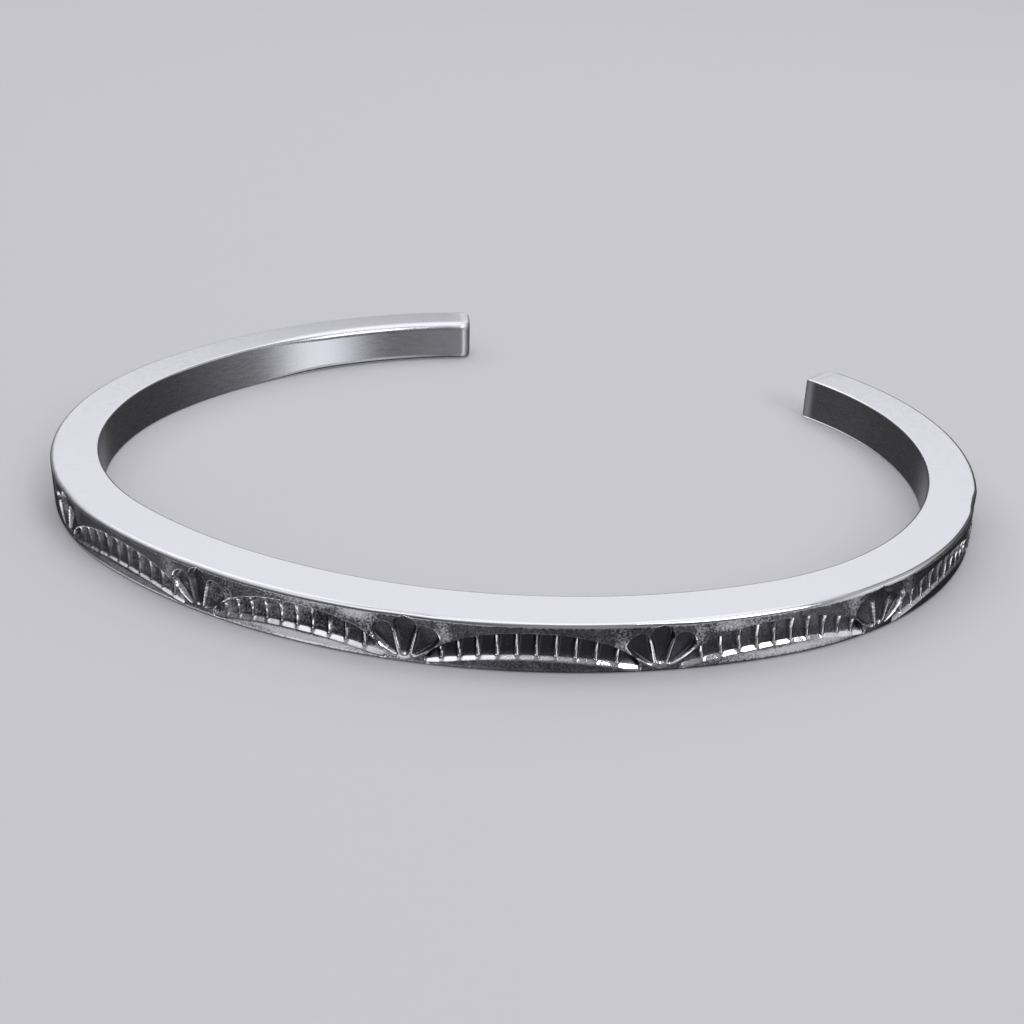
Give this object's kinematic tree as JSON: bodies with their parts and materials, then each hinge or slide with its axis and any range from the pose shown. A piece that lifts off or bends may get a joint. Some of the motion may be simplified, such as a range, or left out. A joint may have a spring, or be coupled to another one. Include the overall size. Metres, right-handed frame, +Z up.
{
  "type": "bangle",
  "caption": "Open cuff bangle bent from heavy square silver wire, its outer face stamped with fans and ribbed half-moons.",
  "frame": {"origin": "middle of the outline's bounding box, on the plane that the cuff lies on", "axes": "+Z up through the wrist opening, +X along the longest extent, -Y faces the middle of the stamped pattern, the gap is at the back"},
  "size_m": [0.064, 0.0524, 0.0033],
  "materials": {
    "silver": "polished silver flats and edges, satin inner face, dark oxidised stamping"
  },
  "bodies": {
    "root": {"cuff": "silver"}
  },
  "joints": []
}
